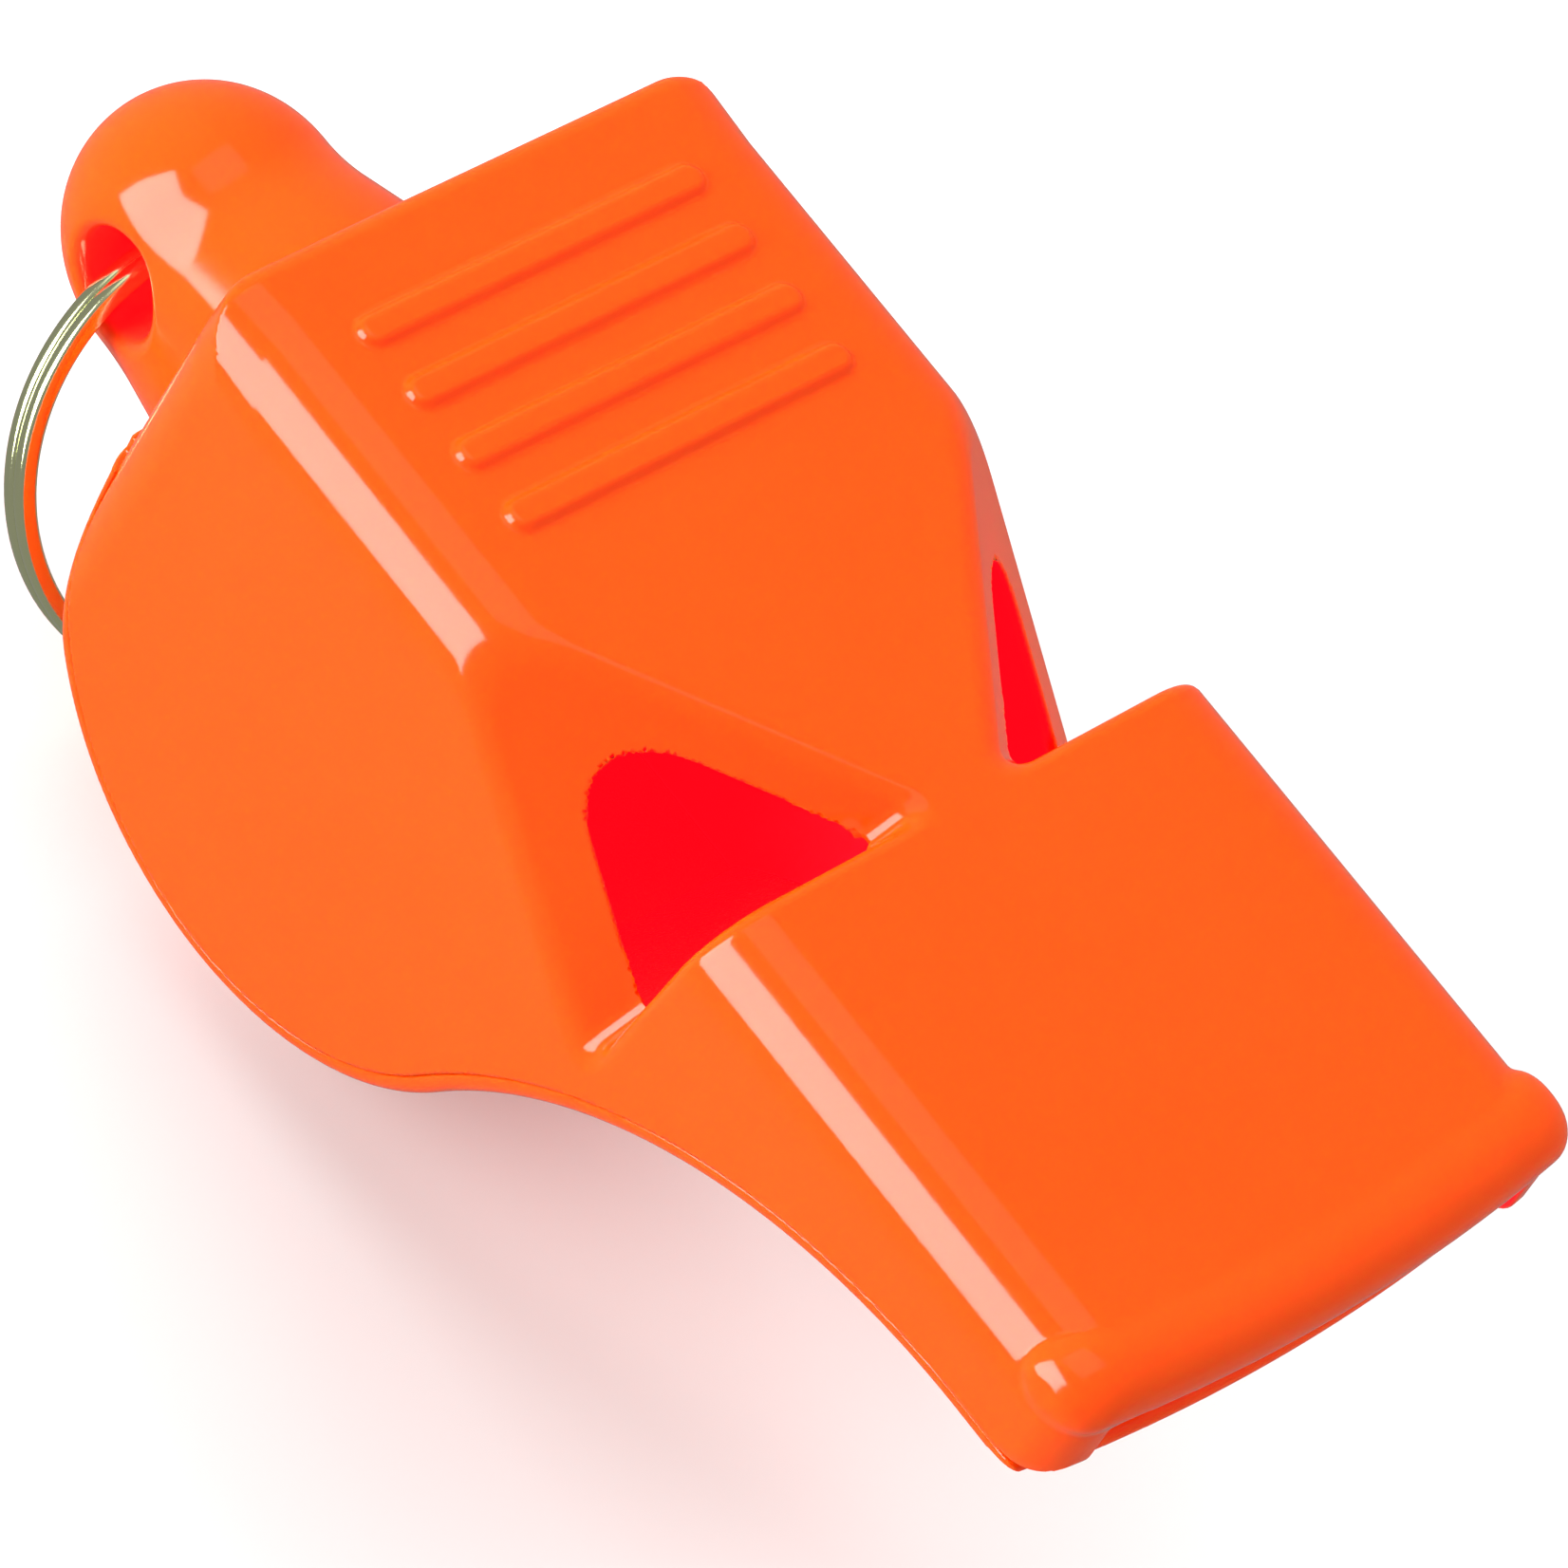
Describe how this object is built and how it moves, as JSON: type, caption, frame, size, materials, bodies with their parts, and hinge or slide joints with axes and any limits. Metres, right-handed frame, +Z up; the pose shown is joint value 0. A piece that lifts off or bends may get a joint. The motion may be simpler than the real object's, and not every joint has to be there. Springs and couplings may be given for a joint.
{
  "type": "training whistle",
  "caption": "Pealess training whistle with flat top, round belly, side windows, wide mouthpiece and a swinging split ring in its lanyard lug.",
  "frame": {"origin": "middle of the flat top face, on the middle plane", "axes": "+X towards the mouthpiece, +Y to the whistle's left side, +Z up, out of the top face"},
  "size_m": [0.057, 0.0216, 0.0262],
  "materials": {
    "shell_plastic": "glossy moulded ABS, bright orange",
    "insert_plastic": "moulded ABS, bright orange, lightly textured",
    "ring_steel": "bright nickel plate on spring steel"
  },
  "bodies": {
    "whistle": {"upper_shell": "shell_plastic", "chamber_insert": "insert_plastic", "belly_cover": "shell_plastic"},
    "ring": {"split_ring": "ring_steel"}
  },
  "joints": [
    {"name": "ring_swing", "type": "hinge", "parent": "whistle", "child": "ring", "pos_m": [-0.02939, 0, -0.01264], "axis": [0, 1, 0], "range_deg": [-5, 236]}
  ]
}
